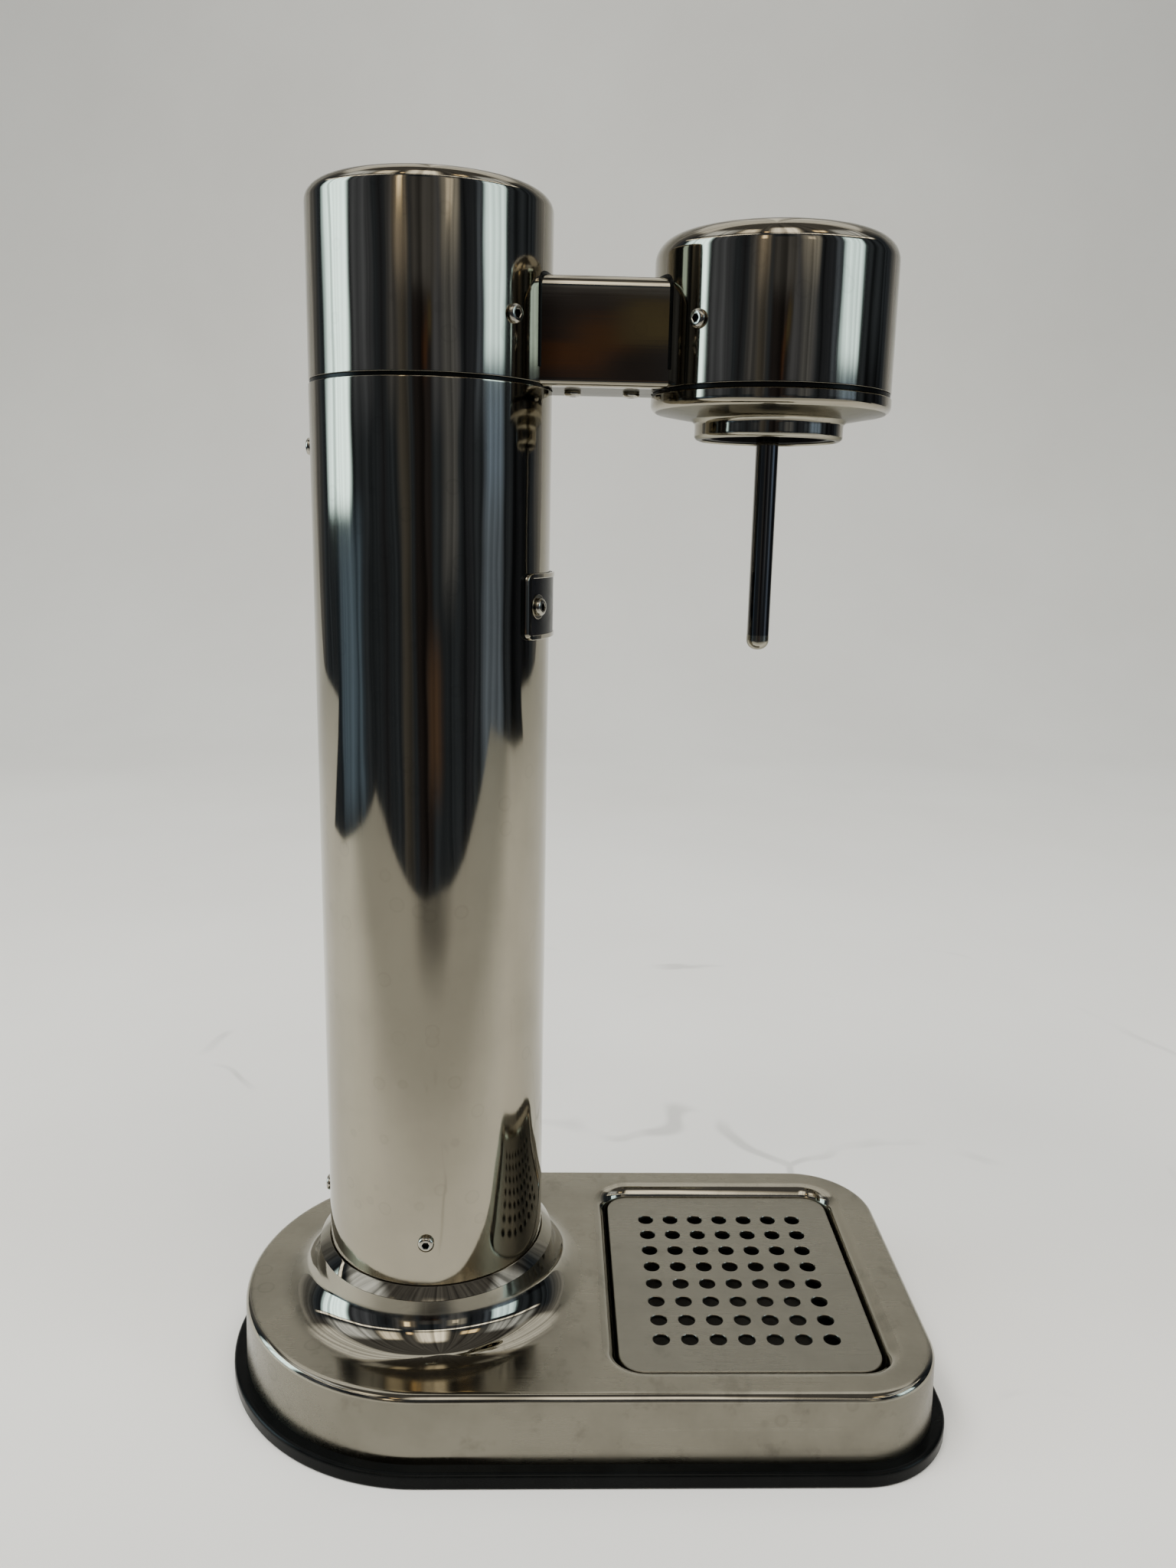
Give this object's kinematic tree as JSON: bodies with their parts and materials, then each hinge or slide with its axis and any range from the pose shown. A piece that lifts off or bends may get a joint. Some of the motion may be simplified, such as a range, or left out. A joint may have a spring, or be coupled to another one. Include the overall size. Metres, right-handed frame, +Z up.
{
  "type": "sparkling water maker",
  "caption": "Countertop sparkling water maker: round steel column on a long rounded base, side arm with bottle collar and gas nozzle, lift-out drip tray, press-down lever, gas cylinder inside.",
  "frame": {"origin": "centre of the base's outline, at the underside of the rubber foot ring", "axes": "+Z up along the column, -Y to the front (the drip tray's end), +X to the user's right (the lever's side)"},
  "size_m": [0.153, 0.262, 0.414],
  "materials": {
    "polished_steel": "polished stainless steel",
    "satin_steel": "satin stainless steel",
    "screw_steel": "bright",
    "dark_steel": "polished, dark",
    "zinc_plate": "satin",
    "cast_alloy": "as cast",
    "bare_alloy": "satin",
    "brass": "turned",
    "black_rubber": "semi-matt",
    "black_plastic": "satin"
  },
  "bodies": {
    "machine": {"foot_ring": "black_rubber", "base_shell": "satin_steel", "base_plate": "zinc_plate", "base_frame": "cast_alloy", "base_screws": "screw_steel", "column_socket": "cast_alloy", "socket_screws": "screw_steel", "column_tube": "polished_steel", "tube_screws": "screw_steel", "cylinder_guide": "black_plastic", "seam_ring": "black_rubber", "top_frame": "cast_alloy", "column_cap": "polished_steel", "cap_screws": "screw_steel", "badge_backing": "black_rubber", "badge_plate": "polished_steel", "badge_screws": "screw_steel", "valve_block": "brass", "valve_seal": "black_rubber", "plunger_spring": "screw_steel", "relief_valve": "brass", "frame_screws": "screw_steel", "arm_beam": "cast_alloy", "arm_cover": "polished_steel", "arm_bottom_plate": "satin_steel", "arm_screws": "screw_steel", "arm_gaskets": "black_rubber", "gas_pipe": "black_plastic", "head_frame": "cast_alloy", "head_drum": "polished_steel", "drum_screws": "screw_steel", "drum_gasket": "black_rubber", "bottle_collar": "satin_steel", "collar_screws": "screw_steel", "thread_insert": "black_plastic", "bottle_seal": "black_rubber", "nozzle_holder": "brass", "nozzle_tube": "dark_steel", "nozzle_tip": "satin_steel", "shaft_bushes": "brass", "shaft_housing": "satin_steel"},
    "lever": {"lever_shaft": "screw_steel", "lever_bar": "polished_steel", "lever_knob": "polished_steel", "lever_screw": "screw_steel", "knob_screw": "screw_steel"},
    "plunger": {"plunger": "screw_steel"},
    "gas_cylinder": {"gas_cylinder": "bare_alloy", "cylinder_valve": "brass"},
    "valve_pin": {"valve_pin": "screw_steel"},
    "drip_tray": {"drip_tray": "satin_steel"},
    "drip_grille": {"drip_grille": "satin_steel"}
  },
  "joints": [
    {"name": "lever_press", "type": "hinge", "parent": "machine", "child": "lever", "pos_m": [0, 0.0545, 0.383], "axis": [1, 0, 0], "range_deg": [0, 35], "stiffness_Nm_per_rad": 0.5, "springref_deg": -17.19},
    {"name": "plunger_slide", "type": "slide", "parent": "machine", "child": "plunger", "axis": [0, 0, 1], "range_m": [-0.0026, 0], "deforming": ["plunger_spring"]},
    {"name": "cylinder_out", "type": "slide", "parent": "machine", "child": "gas_cylinder", "axis": [0, 0, 1], "range_m": [-0.37, 0]},
    {"name": "pin_slide", "type": "slide", "parent": "gas_cylinder", "child": "valve_pin", "axis": [0, 0, 1], "range_m": [-0.0026, 0]},
    {"name": "tray_lift", "type": "slide", "parent": "machine", "child": "drip_tray", "axis": [0, 0, 1], "range_m": [0, 0.06]},
    {"name": "grille_lift", "type": "slide", "parent": "drip_tray", "child": "drip_grille", "axis": [0, 0, 1], "range_m": [0, 0.06]}
  ],
  "couplings": [
    {"joint": "plunger_slide", "follows": "lever_press", "m_per_rad": -0.004131},
    {"joint": "pin_slide", "follows": "lever_press", "m_per_rad": -0.004131}
  ]
}
